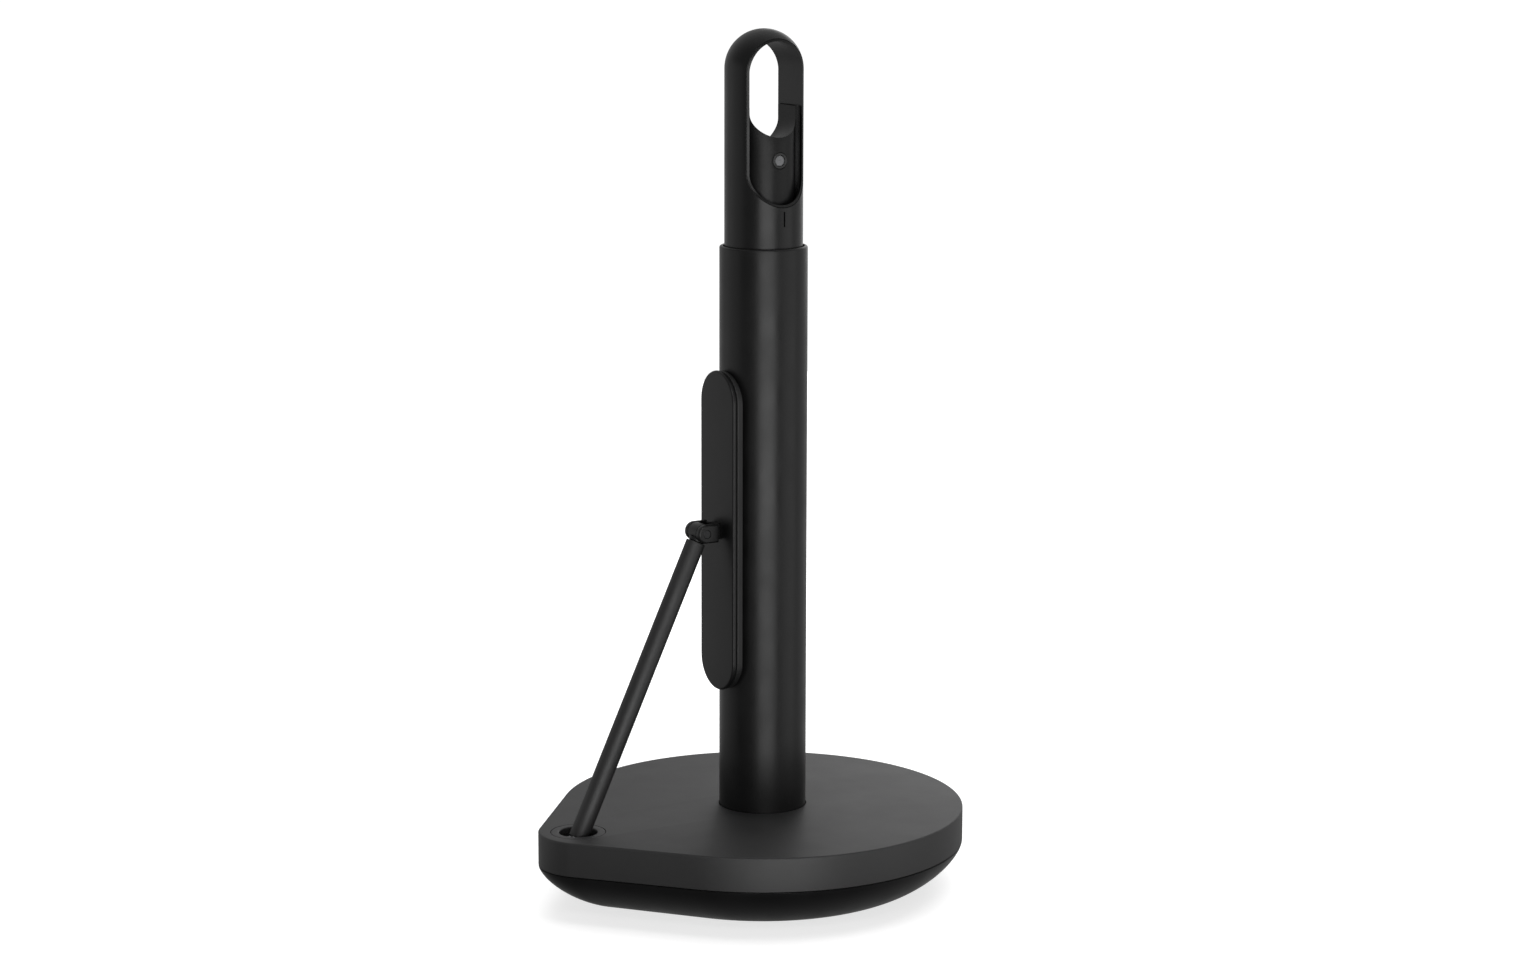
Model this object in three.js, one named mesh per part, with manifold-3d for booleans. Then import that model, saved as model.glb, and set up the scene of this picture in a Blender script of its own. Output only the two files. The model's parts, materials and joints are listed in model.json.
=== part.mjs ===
// Counter-top paper towel holder: a weighted teardrop base, a tubular post that takes the roll, a sprung
// arm whose pad presses on the roll, and a lift-out spray pump whose finger loop tops the post.
// Millimetres, +Z up. The origin is on the post's axis where the foot meets the counter, the arm leans in
// from -X and the finger loop is open along Y.

import * as THREE from "three";
import { mergeVertices } from "three/addons/utils/BufferGeometryUtils.js";
import Module from "manifold-3d";

// ---- Driving dimensions -------------------------------------------------------------------------------

const GAP = 0.3; // between parts that touch
const RUN = 0.12; // radial running clearance round a pin
const ROUND = 32; // sides of a large round part
const SMALL = 12; // sides of a small round part
const TINY = 8; // sides of a screw's shank or hole

const BASE = { radius: 83.5, tipX: -82.1, tipRadius: 20.9, top: 34, seam: 19.8, wall: 2.4, edge: 0.7 };
const FOOT = { radius: 57.5, tipX: -66.2, tipRadius: 5, under: 0.6, floor: 5, inset: 3, padTop: 2.2 };
const BOWL_CURVE = { depth: 1.43, reach: 1.51 }; // exponents of the bowl's bulging side
const BALLAST = { radius: 64, low: 5.3, high: 17.3 };
const BOSS = { radius: 3.4, circle: 50, count: 4, turn: Math.PI / 4, deep: 14 };

const POST = { radius: 18, wall: 1.4, top: 267.4 };
const SOCKET = { flange: 27, flangeLow: 17.6, flangeHigh: 20.6, top: 44, wall: 2.4, circle: 22.6 };
const BUSH = { inner: 15.3, low: 247.7, high: 261.7 };

const ARM = { footX: -89.2, footZ: 27.5, pinX: -30.2, pinZ: 151.75, radius: 4, wall: 1, eye: 4, pin: 1.5 };
const ARM_SHOULDER = 4.3; // from the pad's pin back to the tube's end
const ARM_HOLE = { x: -87.4, radius: 7.8, ring: 11, thick: 1.4, sleeve: 9.2 };
const BRACKET = { inner: 7.6, thick: 1.6, low: 22.4, high: 31.3, halfLength: 6 };
const BRACKET_FOOT = { reach: 15.8, from: -1, to: 9, screwX: 5, screwY: 13.2 };
const TORSION = { radius: 3, wire: 0.8, turns: 2.75, clear: 0.25 };

const PAD = { width: 26, height: 132.5, drop: 0.45, outer: 8, carrier: 2, seam: 0.2, edge: 0.9 };
const FACING = { middle: 1.7, edge: 2.8, hollow: 75, sides: 160 }; // thinnest on the centre line
const CLEVIS = { radius: 3.85, halfWidth: 6.1, lug: 2.5, lugEnd: 5.7, pin: 1.7, edge: 0.8 };
const STEM = { bridge: 5.3, bridgeLength: 1.4, half: 2.5, rise: 3.4, screwZ: 1.9 }; // between lugs and pad

const HANDLE = { radius: 16, wall: 1.5, domeZ: 338.8, shoulder: 262, spigot: 15, spigotLow: 249, solid: 324 };
const WINDOW = { half: 12.4, low: 284.9, high: 350.1 };
const MARK = { low: 276.2, high: 282.3, width: 0.7, depth: 1 };

const BOTTLE = { radius: 14.8, wall: 1.2, low: 64, shoulder: 240, neck: 11.2, neckLow: 246, neckTop: 263.4 };
const COLLAR = { radius: 14.2, low: 253, roof: 264.8, high: 267.4 };
const PUMP = { radius: 6, bore: 5, low: 214, seat: 219, flange: 9, flangeLow: 267.7, top: 269.2 };
const DIP = { radius: 3.6, bore: 2.75, low: 68, nipple: 2.6, nippleLow: 205, channel: 1.1 };
const BALL = 1.5;

const ACTUATOR = { radius: 12.7, low: 284.3, high: 323.7 };
const SADDLE = { radius: 10.8, z: 319.65, tilt: -0.258 }; // trough's axis, falling to the back
const NOZZLE = { z: 302.5, bezel: 3.3, insert: 2.1, pocket: 3.6, depth: 3 };
const PISTON = { stem: 2.4, head: 4.8, low: 236, high: 243, stemTop: 293 };
const SPRING = { radius: 7, wire: 1, turns: 5 };
const SPRING_CUP = 3.5; // depth of the groove in the button that the return spring stands in

// Screws: head radius and height, shank radius and length, and the hole each shank goes into.
const BASE_SCREW = { head: 3, height: 1.5, shank: 1.5, length: 12, hole: 1.7, through: 1.9, sink: 3.3 };
const SOCKET_SCREW = { head: 3.5, height: 2.4, shank: 2, length: 11, hole: 2.15, through: 2.3 };
const BRACKET_SCREW = { head: 2.2, height: 1.4, shank: 1.2, length: 3.2, hole: 1.4 };
const TUBE_SCREW = { head: 2.4, height: 1.2, shank: 1.45, length: 5, hole: 1.6, z: 27 };
const CLEVIS_SCREW = { head: 1.45, height: 0.9, shank: 0.8, length: 4.2, hole: 0.95, sink: 1.7 };

const TURN = 2 * Math.PI;
const POST_BORE = POST.radius - POST.wall;
const ARM_RUN = ARM.pinX - ARM.footX;
const ARM_RISE = ARM.pinZ - ARM.footZ;
const ARM_LENGTH = Math.hypot(ARM_RUN, ARM_RISE);
const ARM_LEAN = Math.atan2(ARM_RUN, ARM_RISE);

// ---- Materials ----------------------------------------------------------------------------------------

function material(color, roughness, metalness) {
  return new THREE.MeshStandardMaterial({ color, roughness, metalness });
}

const MATTE_BLACK = material(0x1b1b1c, 0.45, 0);
const GLOSS_BLACK = material(0x101011, 0.2, 0);
const PAINTED_BLACK = material(0x161617, 0.38, 0.2);
const RUBBER = material(0x121212, 0.8, 0);
const STEEL = material(0x9a9a9c, 0.3, 1);
const IRON = material(0x3a3a3c, 0.7, 0.8);
const GREY_PLASTIC = material(0x76777a, 0.4, 0);
const CLEAR_PLASTIC = material(0xc9ced0, 0.3, 0);

// ---- Solid helpers ------------------------------------------------------------------------------------

const wasm = await Module();
wasm.setup();

// A closed three.js geometry as a solid that can be joined and cut.
function solid(geometry) {
  const bare = geometry.clone();
  bare.deleteAttribute("normal");
  bare.deleteAttribute("uv");
  const merged = mergeVertices(bare, 1e-4);
  const mesh = new wasm.Mesh({
    numProp: 3,
    vertProperties: merged.attributes.position.array,
    triVerts: new Uint32Array(merged.index.array),
  });
  return new wasm.Manifold(mesh);
}

function joined(first, ...others) {
  return others.reduce((whole, piece) => whole.add(piece), first);
}

function cut(body, ...tools) {
  return tools.reduce((whole, tool) => whole.subtract(tool), body);
}

// A named scene mesh from a finished solid, added to its group.
function addMesh(group, name, body, look) {
  const { vertProperties, triVerts } = body.getMesh();
  const geometry = new THREE.BufferGeometry();
  geometry.setAttribute("position", new THREE.BufferAttribute(vertProperties, 3));
  geometry.setIndex(new THREE.BufferAttribute(triVerts, 1));
  geometry.computeVertexNormals();
  const mesh = new THREE.Mesh(geometry, look);
  mesh.name = name;
  group.add(mesh);
  return mesh;
}

// A cylinder on the Z axis at (x, y), from low to high.
function post(radius, low, high, x = 0, y = 0, sides = ROUND) {
  const shape = new THREE.CylinderGeometry(radius, radius, high - low, sides);
  shape.rotateX(Math.PI / 2);
  shape.translate(x, y, (low + high) / 2);
  return solid(shape);
}

// A cylinder along Y at (x, z), from y = near to y = far.
function crossPin(radius, near, far, x = 0, z = 0, sides = SMALL) {
  const shape = new THREE.CylinderGeometry(radius, radius, far - near, sides);
  shape.translate(x, (near + far) / 2, z);
  return solid(shape);
}

// A box given by its lowest and highest corners.
function block(low, high) {
  const size = high.map((value, axis) => value - low[axis]);
  const middle = high.map((value, axis) => (value + low[axis]) / 2);
  return solid(new THREE.BoxGeometry(...size).translate(...middle));
}

// A solid turned about Z from [radius, height] pairs that start and end on the axis.
function turned(profile, sides = ROUND) {
  const points = profile.map(([radius, height]) => new THREE.Vector2(radius, height));
  return solid(new THREE.LatheGeometry(points, sides).rotateX(Math.PI / 2));
}

// A ring about Z at (x, 0).
function ring(outer, inner, low, high, x = 0, sides = ROUND) {
  return cut(post(outer, low, high, x, 0, sides), post(inner, low - 1, high + 1, x, 0, sides));
}

// A six-sided wire swept along a curve.
function swept(curve, radius, steps) {
  const section = new THREE.Shape().absarc(0, 0, radius, 0, TURN);
  const options = { steps, curveSegments: 3, bevelEnabled: false, extrudePath: curve };
  return solid(new THREE.ExtrudeGeometry(section, options));
}

// A helix about Z.
class Helix extends THREE.Curve {
  constructor(radius, turns, low, high) {
    super();
    Object.assign(this, { radius, turns, low, high });
  }
  getPoint(t, target = new THREE.Vector3()) {
    const angle = t * this.turns * TURN;
    const height = this.low + t * (this.high - this.low);
    return target.set(this.radius * Math.cos(angle), this.radius * Math.sin(angle), height);
  }
}

// A screw on the Z axis: head on top, shank below, hexagon socket in the head.
function screw({ head, height, shank, length }) {
  const top = post(head, 0, height, 0, 0, SMALL);
  const stem = post(shank, -length, height / 2, 0, 0, TINY);
  const socket = post(head / 2, height * 0.45, height + 1, 0, 0, 6);
  return cut(joined(top, stem), socket);
}

// ---- The teardrop ---------------------------------------------------------------------------------------

// The outline round two circles, the large one at the origin and the small one at tipX on the -X side.
function teardrop(radius, tipX, tipRadius) {
  const tangent = Math.acos((radius - tipRadius) / -tipX);
  const large = arc(0, radius, tangent - Math.PI, Math.PI - tangent, 40);
  const small = arc(tipX, tipRadius, Math.PI - tangent, Math.PI + tangent, 10);
  return [...large, ...small];
}

function arc(centreX, radius, from, to, steps) {
  return Array.from({ length: steps + 1 }, (_, step) => {
    const angle = from + ((to - from) * step) / steps;
    return new THREE.Vector2(centreX + radius * Math.cos(angle), radius * Math.sin(angle));
  });
}

function teardropInset(inset) {
  return teardrop(BASE.radius - inset, BASE.tipX, BASE.tipRadius - inset);
}

// A solid through closed outlines of equal length, each at its own height, lowest first.
function loft(outlines, heights) {
  const count = outlines[0].length;
  const positions = outlines.flatMap((outline, level) =>
    outline.flatMap(({ x, y }) => [x, y, heights[level]]),
  );
  const faces = [];
  for (let level = 0; level + 1 < outlines.length; level++) {
    for (let i = 0; i < count; i++) {
      const [a, b] = [level * count + i, level * count + ((i + 1) % count)];
      faces.push(a, b, b + count, a, b + count, a + count);
    }
  }
  const last = (outlines.length - 1) * count;
  for (const [a, b, c] of THREE.ShapeUtils.triangulateShape(outlines[0], [])) {
    faces.push(a, c, b, last + a, last + b, last + c);
  }
  const geometry = new THREE.BufferGeometry();
  geometry.setAttribute("position", new THREE.Float32BufferAttribute(positions, 3));
  geometry.setIndex(faces);
  return solid(geometry);
}

// The bowl's outline at a height, from its band-wide rim down to its narrow foot, less a wall thickness.
function bowlOutline(height, wall) {
  const depth = THREE.MathUtils.clamp((BASE.seam - height) / (BASE.seam - FOOT.under), 0, 1);
  const reach = (1 - depth ** BOWL_CURVE.depth) ** (1 / BOWL_CURVE.reach);
  const between = (foot, rim) => foot + (rim - foot) * reach;
  const radius = between(FOOT.radius, BASE.radius) - wall;
  const tipRadius = Math.max(between(FOOT.tipRadius, BASE.tipRadius) - wall, 2);
  const tipEnd = between(FOOT.tipX - FOOT.tipRadius, BASE.tipX - BASE.tipRadius) + wall;
  return teardrop(radius, tipEnd + tipRadius, tipRadius);
}

function bowlSolid(low, high, wall, levels) {
  const heights = Array.from({ length: levels + 1 }, (_, level) => low + ((high - low) * level) / levels);
  return loft(heights.map((height) => bowlOutline(height, wall)), heights);
}

// ---- Base -----------------------------------------------------------------------------------------------

function bossPlaces() {
  return Array.from({ length: BOSS.count }, (_, index) => {
    const angle = BOSS.turn + (index * TURN) / BOSS.count;
    return [BOSS.circle * Math.cos(angle), BOSS.circle * Math.sin(angle)];
  });
}

// Upper shell: flat top, short vertical band, and the bosses that its screws pull down on.
function baseCover() {
  const skirt = loft(
    [teardropInset(0), teardropInset(0), teardropInset(BASE.edge)],
    [BASE.seam + GAP / 2, BASE.top - BASE.edge, BASE.top],
  );
  const roof = BASE.top - BASE.wall;
  const hollow = loft([teardropInset(BASE.wall), teardropInset(BASE.wall)], [BASE.seam - 1, roof]);
  const shell = cut(
    skirt,
    hollow,
    post(POST.radius + GAP, roof - 1, BASE.top + 1),
    post(ARM_HOLE.ring + GAP, BASE.top - ARM_HOLE.thick - GAP, BASE.top + 1, ARM_HOLE.x),
    post(ARM_HOLE.sleeve + GAP, roof - 1, BASE.top, ARM_HOLE.x),
    ...bracketScrewPlaces().map(([x, y]) => post(BRACKET_SCREW.hole, roof - 1, BASE.top - 0.8, x, y, TINY)),
  );
  const bosses = bossPlaces().map(([x, y]) => {
    const thread = post(BASE_SCREW.hole, 0, BALLAST.low + BOSS.deep, x, y, TINY);
    return cut(post(BOSS.radius, BALLAST.low, roof + 0.5, x, y, SMALL), thread);
  });
  return joined(shell, ...bosses);
}

// Lower shell: the sides bulge in to a narrow foot, and the floor is recessed for the rubber foot.
function baseBowl() {
  const outside = bowlSolid(FOOT.under, BASE.seam - GAP / 2, 0, 5);
  const hollow = bowlSolid(FOOT.floor, BASE.seam + 1, BASE.wall, 2);
  const recess = loft([footOutline(-GAP), footOutline(-GAP)], [-1, FOOT.padTop + GAP]);
  const screwHoles = bossPlaces().flatMap(([x, y]) => [
    post(BASE_SCREW.sink, 0, FOOT.padTop + 1.9, x, y, SMALL),
    post(BASE_SCREW.through, 0, FOOT.floor + 1, x, y, TINY),
  ]);
  return cut(outside, hollow, recess, ...screwHoles);
}

function footOutline(inset) {
  const shrink = FOOT.inset + inset;
  return teardrop(FOOT.radius - shrink, FOOT.tipX + shrink / 2, FOOT.tipRadius - shrink / 2);
}

function footPad() {
  return loft([footOutline(0.4), footOutline(0), footOutline(0)], [0, 0.4, FOOT.padTop]);
}

function ballastPlate() {
  const holes = bossPlaces().map(([x, y]) => post(BOSS.radius + 0.6, 0, BASE.seam, x, y, SMALL));
  const threads = socketScrewPlaces().map(([x, y]) => post(SOCKET_SCREW.hole, 8.5, BASE.seam, x, y, TINY));
  return cut(post(BALLAST.radius, BALLAST.low, BALLAST.high), ...holes, ...threads);
}

function socketScrewPlaces() {
  return Array.from({ length: 3 }, (_, index) => {
    const angle = Math.PI / 2 + (index * TURN) / 3;
    return [SOCKET.circle * Math.cos(angle), SOCKET.circle * Math.sin(angle)];
  });
}

// Flanged socket that the post slips over and is screwed to.
function postSocket() {
  const spigot = POST_BORE - GAP;
  const body = turned([
    [0, SOCKET.flangeLow],
    [SOCKET.flange, SOCKET.flangeLow],
    [SOCKET.flange, SOCKET.flangeHigh],
    [spigot, SOCKET.flangeHigh],
    [spigot, SOCKET.top - 1],
    [spigot - 1, SOCKET.top],
    [spigot - SOCKET.wall, SOCKET.top],
    [spigot - SOCKET.wall, SOCKET.flangeHigh],
    [0, SOCKET.flangeHigh],
  ]);
  const holes = socketScrewPlaces().map(([x, y]) => post(SOCKET_SCREW.through, 0, SOCKET.top, x, y, TINY));
  return cut(body, ...holes, sideBore(TUBE_SCREW.hole, TUBE_SCREW.z));
}

// A bore along X, right through.
function sideBore(radius, z) {
  const bore = new THREE.CylinderGeometry(radius, radius, 60, TINY);
  bore.rotateZ(Math.PI / 2);
  bore.translate(0, 0, z);
  return solid(bore);
}

function postTube() {
  const low = SOCKET.flangeHigh + GAP;
  const outside = turned([
    [0, low],
    [POST.radius, low],
    [POST.radius, POST.top - 0.8],
    [POST.radius - 0.5, POST.top],
    [0, POST.top],
  ]);
  return cut(outside, post(POST_BORE, low - 1, POST.top + 1), sideBore(TUBE_SCREW.hole, TUBE_SCREW.z));
}

// Lined top of the post: the pump's shoulder stands on it.
function postBush() {
  return ring(POST_BORE - 0.15, BUSH.inner, BUSH.low, BUSH.high);
}

// Ring set flush in the base's top round the arm.
function armHoleRing() {
  const flange = ring(ARM_HOLE.ring, ARM_HOLE.radius, BASE.top - ARM_HOLE.thick, BASE.top, ARM_HOLE.x);
  const roof = BASE.top - BASE.wall;
  const sleeve = ring(ARM_HOLE.sleeve, ARM_HOLE.radius, roof - 0.4, BASE.top - 1, ARM_HOLE.x);
  return joined(flange, sleeve);
}

// Bent plate under the cover that carries the arm's pivot pin.
function armBracket() {
  const { inner, thick, low, high, halfLength } = BRACKET;
  const side = (sign) => {
    const [y0, y1] = span(sign * inner, sign * (inner + thick));
    const [f0, f1] = span(sign * inner, sign * BRACKET_FOOT.reach);
    const cheek = block([-halfLength, y0, low], [halfLength, y1, high]);
    const foot = block([BRACKET_FOOT.from, f0, high - thick], [BRACKET_FOOT.to, f1, high]);
    return joined(cheek, foot);
  };
  const bridge = block([-halfLength, -inner - thick, low - thick], [halfLength, inner + thick, low + 0.2]);
  const plate = joined(side(-1), side(1), bridge);
  return cut(
    plate.translate([ARM.footX, 0, 0]),
    post(ARM_HOLE.sleeve + 0.6, high - thick - 1, high + 1, ARM_HOLE.x),
    crossPin(ARM.pin + RUN, -20, 20, ARM.footX, ARM.footZ),
    ...bracketScrewPlaces().map(([x, y]) => post(BRACKET_SCREW.hole, high - thick - 1, high + 1, x, y, TINY)),
  );
}

function bracketScrewPlaces() {
  return [-1, 1].map((sign) => [ARM.footX + BRACKET_FOOT.screwX, sign * BRACKET_FOOT.screwY]);
}

function span(a, b) {
  return [Math.min(a, b), Math.max(a, b)];
}

// Coil about Z, without its tails.
function torsionSpring() {
  const { radius, wire, turns, clear } = TORSION;
  const reach = wire / 2 + clear;
  const high = BRACKET.inner - ARM.eye - reach;
  return swept(new Helix(radius, turns, reach, high), wire / 2, 24);
}

// ---- Arm, in its own frame: pivot at the origin, +Z along the arm -------------------------------------

function armFoot() {
  const eye = crossPin(ARM.eye, -ARM.eye, ARM.eye, 0, 0, 24);
  const spigot = post(ARM.radius - ARM.wall - 0.2, 3, 16, 0, 0, SMALL);
  return cut(joined(eye, spigot), crossPin(ARM.pin + RUN, -10, 10));
}

function armTube() {
  const [low, high, edge] = [ARM.eye + GAP, ARM_LENGTH - ARM_SHOULDER, 0.8];
  const outside = turned(
    [
      [0, low],
      [ARM.radius, low],
      [ARM.radius, high - edge],
      [ARM.radius - edge * 0.3, high - edge * 0.3],
      [ARM.radius - edge, high],
      [0, high],
    ],
    24,
  );
  return cut(outside, post(ARM.radius - ARM.wall, low - 1, high + 1, 0, 0, SMALL));
}

function armHead() {
  const half = CLEVIS.halfWidth - CLEVIS.lug - 0.25;
  const eye = crossPin(CLEVIS.radius - 0.1, -half, half, 0, ARM_LENGTH, 24);
  const neckLow = ARM_LENGTH - ARM_SHOULDER + GAP;
  const neck = post(half, neckLow, ARM_LENGTH - 2, 0, 0, 24);
  const spigot = post(ARM.radius - ARM.wall - 0.2, neckLow - 10, ARM_LENGTH - 3, 0, 0, SMALL);
  return cut(joined(eye, neck, spigot), crossPin(CLEVIS.pin + RUN, -10, 10, 0, ARM_LENGTH));
}

// ---- Pad, in its own frame: its pin is the origin, and it faces +X -------------------------------------

// A racetrack plate whose face looks along X, from x = near to x = far, with its edge rounded by edge.
function racetrackPlate(width, height, near, far, edge) {
  const radius = width / 2 - edge;
  const straight = height / 2 - width / 2;
  const outline = new THREE.Shape();
  outline.absarc(0, straight, radius, 0, Math.PI);
  outline.absarc(0, -straight, radius, Math.PI, TURN);
  const bevel = { bevelEnabled: edge > 0, bevelThickness: edge, bevelSize: edge, bevelSegments: 2 };
  const depth = far - near - 2 * edge;
  const plate = new THREE.ExtrudeGeometry(outline, { depth, curveSegments: 8, ...bevel });
  plate.translate(0, 0, near + edge);
  const facing = new THREE.Matrix4().makeBasis(
    new THREE.Vector3(0, 1, 0),
    new THREE.Vector3(0, 0, 1),
    new THREE.Vector3(1, 0, 0),
  );
  return solid(plate.applyMatrix4(facing)).translate([0, 0, -PAD.drop]);
}

function clevisScrewZs() {
  return [-STEM.screwZ, STEM.screwZ];
}

function padCarrier() {
  const [near, far] = [PAD.outer, PAD.outer + PAD.carrier];
  const plate = racetrackPlate(PAD.width, PAD.height, near, far, PAD.edge);
  const { hole, sink } = CLEVIS_SCREW;
  return cut(plate, ...clevisScrewZs().flatMap((z) => [xBore(hole, z, near - 1), xBore(sink, z, far - 1.1)]));
}

// A blind bore on the pad's centre line that runs from x = near out of the carrier's roll side.
function xBore(radius, z, near) {
  const length = 20;
  const bore = new THREE.CylinderGeometry(radius, radius, length, SMALL);
  bore.rotateZ(Math.PI / 2);
  bore.translate(near + length / 2, 0, z);
  return solid(bore);
}

// Rubber facing, hollowed lengthwise to the curve of a roll.
function padFacing() {
  const near = PAD.outer + PAD.carrier + PAD.seam;
  const plate = racetrackPlate(PAD.width - 0.4, PAD.height - 0.4, near, near + FACING.edge, 0.6);
  const axisX = near + FACING.middle + FACING.hollow;
  return cut(plate, post(FACING.hollow, -PAD.height, PAD.height, axisX, 0, FACING.sides));
}

// Two lugs with softened rims, joined by a bridge whose narrow stem stands on the carrier.
function padClevis() {
  const { radius, halfWidth, lug, lugEnd, pin, edge } = CLEVIS;
  const lugs = [-1, 1].map((sign) => {
    const [, y1] = span(sign * (halfWidth - lug), sign * halfWidth);
    const outline = new THREE.Shape();
    outline.absarc(0, 0, radius - edge, Math.PI / 2, Math.PI * 1.5);
    outline.lineTo(lugEnd - edge, -(radius - edge));
    outline.lineTo(lugEnd - edge, radius - edge);
    const rim = { bevelThickness: edge, bevelSize: edge, bevelSegments: 2, curveSegments: 8 };
    const plate = new THREE.ExtrudeGeometry(outline, { depth: lug - 2 * edge, ...rim });
    plate.rotateX(Math.PI / 2);
    return solid(plate.translate(0, y1 - edge, 0));
  });
  const { bridge, bridgeLength, half, rise } = STEM;
  const back = block([lugEnd - bridgeLength, -bridge, -rise], [lugEnd, bridge, rise]);
  const stem = block([lugEnd - bridgeLength / 2, -half, -rise], [PAD.outer - 0.15, half, rise]);
  const threads = clevisScrewZs().map((z) => xBore(CLEVIS_SCREW.hole, z, lugEnd - bridgeLength - 1));
  return cut(joined(back, stem, ...lugs), crossPin(pin + RUN, -10, 10), ...threads);
}

// ---- Pump head: the part that lifts out of the post ------------------------------------------------------

function racetrackAlongY(half, low, high) {
  const outline = new THREE.Shape();
  outline.absarc(0, high - half, half, 0, Math.PI);
  outline.absarc(0, low + half, half, Math.PI, TURN);
  const depth = 2 * HANDLE.radius + 4;
  const window = new THREE.ExtrudeGeometry(outline, { depth, curveSegments: 10, bevelEnabled: false });
  window.rotateX(Math.PI / 2);
  return solid(window.translate(0, depth / 2, 0));
}

// Domed shell with a finger loop through it; solid round the loop, hollow below for the pump's button.
function handleShell() {
  const { radius, wall, domeZ, shoulder, spigot, spigotLow, solid: solidFrom } = HANDLE;
  const dome = Array.from({ length: 9 }, (_, step) => {
    const angle = (step / 8) * (Math.PI / 2);
    return [radius * Math.cos(angle), domeZ + radius * Math.sin(angle)];
  });
  dome[dome.length - 1][0] = 0;
  const plug = [[0, spigotLow], [spigot, spigotLow], [spigot, shoulder], [radius, shoulder]];
  const outside = turned([...plug, ...dome]);
  const well = radius - wall;
  return cut(
    outside,
    post(well, spigotLow - 1, solidFrom),
    racetrackAlongY(WINDOW.half, WINDOW.low, WINDOW.high),
    block([-MARK.width / 2, -radius - 1, MARK.low], [MARK.width / 2, MARK.depth - radius, MARK.high]),
  );
}

function sprayBottle() {
  const { radius, wall, low, shoulder, neck, neckLow, neckTop } = BOTTLE;
  const bore = neck - 1.8;
  return turned([
    [0, low],
    [radius - 2, low],
    [radius, low + 2],
    [radius, shoulder],
    [neck, neckLow],
    [neck, neckTop],
    [bore, neckTop],
    [bore, neckLow],
    [radius - wall, shoulder - 1],
    [radius - wall, low + wall],
    [0, low + wall],
  ]);
}

// Screw cap of the bottle, which snaps into the shell and carries the pump's barrel.
function pumpCollar() {
  return cut(
    post(COLLAR.radius, COLLAR.low, COLLAR.high),
    post(BOTTLE.neck + GAP, COLLAR.low - 1, COLLAR.roof),
    post(PUMP.radius + GAP, COLLAR.roof - 1, COLLAR.high + 1),
  );
}

function neckGasket() {
  return ring(BOTTLE.neck - 0.2, PUMP.radius + 0.5, BOTTLE.neckTop + GAP, COLLAR.roof - GAP);
}

function pumpBarrel() {
  const body = turned(
    [
      [0, DIP.nippleLow],
      [DIP.nipple, DIP.nippleLow],
      [DIP.nipple, PUMP.low],
      [PUMP.radius, PUMP.low + 2],
      [PUMP.radius, PUMP.flangeLow],
      [PUMP.flange, PUMP.flangeLow],
      [PUMP.flange, PUMP.top],
      [PUMP.bore, PUMP.top],
      [PUMP.bore, PUMP.seat + 2],
      [DIP.channel, PUMP.seat],
      [0, PUMP.seat],
    ],
    24,
  );
  return cut(body, post(DIP.channel, DIP.nippleLow - 1, PUMP.seat + 1, 0, 0, TINY));
}

function dipTube() {
  return ring(DIP.radius, DIP.bore, DIP.low, PUMP.low - GAP, 0, SMALL);
}

function inletBall() {
  const ball = new THREE.SphereGeometry(BALL, 12, 8);
  return solid(ball.translate(0, 0, PUMP.seat + BALL + 1));
}

// ---- Button: the part that a finger presses -----------------------------------------------------------

// The sloping trough pressed by a finger, open upwards.
function fingerTrough() {
  const { radius, z, tilt } = SADDLE;
  const reach = ACTUATOR.radius + 4;
  const groove = new THREE.CylinderGeometry(radius, radius, 2 * reach, 32);
  const opening = new THREE.BoxGeometry(2 * radius, 2 * reach, 2 * radius).translate(0, 0, radius);
  const [round, above] = [groove, opening].map((shape) => solid(shape.rotateX(tilt).translate(0, 0, z)));
  return joined(round, above);
}

// Round plug with a sloping saddle for the finger and a pocket for the nozzle.
function pumpButton() {
  const { radius, low, high } = ACTUATOR;
  return cut(
    post(radius, low, high),
    fingerTrough(),
    crossPin(NOZZLE.pocket, -radius - 2, NOZZLE.depth - radius, 0, NOZZLE.z),
    post(PISTON.stem + 0.2, low - 1, PISTON.stemTop + GAP, 0, 0, SMALL),
    cut(
      post(radius - 2.5, low - 1, low + SPRING_CUP),
      post(PISTON.stem + 1.6, low - 2, low + SPRING_CUP + 1),
    ),
  );
}

function nozzleBezel() {
  const [near, far] = [-ACTUATOR.radius, NOZZLE.depth - ACTUATOR.radius - GAP];
  const outside = crossPin(NOZZLE.bezel, near, far, 0, NOZZLE.z);
  return cut(outside, crossPin(NOZZLE.insert + 0.15, near - 1, far + 1, 0, NOZZLE.z));
}

function nozzleInsert() {
  const [near, far] = [0.3 - ACTUATOR.radius, NOZZLE.depth - ACTUATOR.radius - GAP];
  const outside = crossPin(NOZZLE.insert, near, far, 0, NOZZLE.z);
  return cut(outside, crossPin(0.3, near - 1, near + 1, 0, NOZZLE.z, 8));
}

function pumpPiston() {
  const body = turned(
    [
      [0, PISTON.low],
      [PISTON.head, PISTON.low],
      [PISTON.head, PISTON.low + 1.5],
      [PISTON.head - 0.8, PISTON.low + 2.2],
      [PISTON.head - 0.8, PISTON.high - 2.2],
      [PISTON.head, PISTON.high - 1.5],
      [PISTON.head, PISTON.high],
      [PISTON.stem, PISTON.high + 1],
      [PISTON.stem, PISTON.stemTop],
      [0, PISTON.stemTop],
    ],
    24,
  );
  return cut(body, post(1, PISTON.low - 1, PISTON.stemTop + 1, 0, 0, TINY));
}

function returnSpring() {
  const { radius, wire, turns } = SPRING;
  const low = PUMP.top + GAP + wire / 2;
  const high = ACTUATOR.low + SPRING_CUP - GAP - wire / 2;
  return swept(new Helix(radius, turns, low, high), wire / 2, 44);
}

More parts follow.
